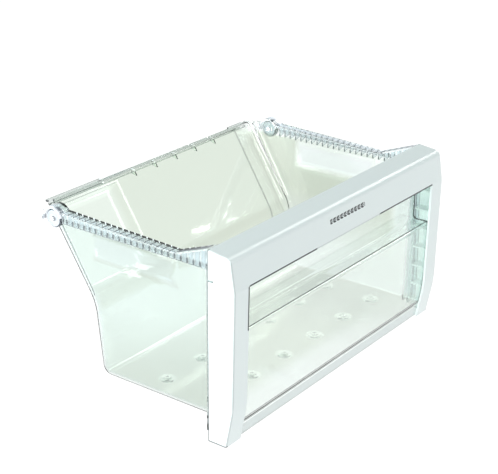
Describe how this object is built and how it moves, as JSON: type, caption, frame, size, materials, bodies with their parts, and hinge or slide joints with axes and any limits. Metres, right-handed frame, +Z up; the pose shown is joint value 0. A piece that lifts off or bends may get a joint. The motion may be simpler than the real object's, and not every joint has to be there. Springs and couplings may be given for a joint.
{
  "type": "fridge crisper drawer",
  "caption": "Clear open-topped drawer with a white front frame, a hand pocket under the frame's band, ribbed side rails and rear rollers, for sliding produce in and out of a fridge.",
  "frame": {"origin": "centre of the drawer's box on the level of the frame's foot", "axes": "+X to the right seen from the front, +Y to the rear, +Z up"},
  "size_m": [0.4, 0.2708, 0.209],
  "materials": {
    "clear_plastic": "clear, polished, faint green tint",
    "white_plastic": "satin white",
    "roller_plastic": "natural white, slightly waxy"
  },
  "bodies": {
    "drawer": {"bin": "clear_plastic", "front_frame": "white_plastic"},
    "left_wheel": {"left_roller": "roller_plastic"},
    "right_wheel": {"right_roller": "roller_plastic"}
  },
  "joints": [
    {"name": "left_roller_spin", "type": "hinge", "parent": "drawer", "child": "left_wheel", "pos_m": [-0.19132, 0.10554, 0.189], "axis": [1, 0, 0], "continuous": true},
    {"name": "right_roller_spin", "type": "hinge", "parent": "drawer", "child": "right_wheel", "pos_m": [0.19132, 0.10554, 0.189], "axis": [1, 0, 0], "continuous": true}
  ]
}
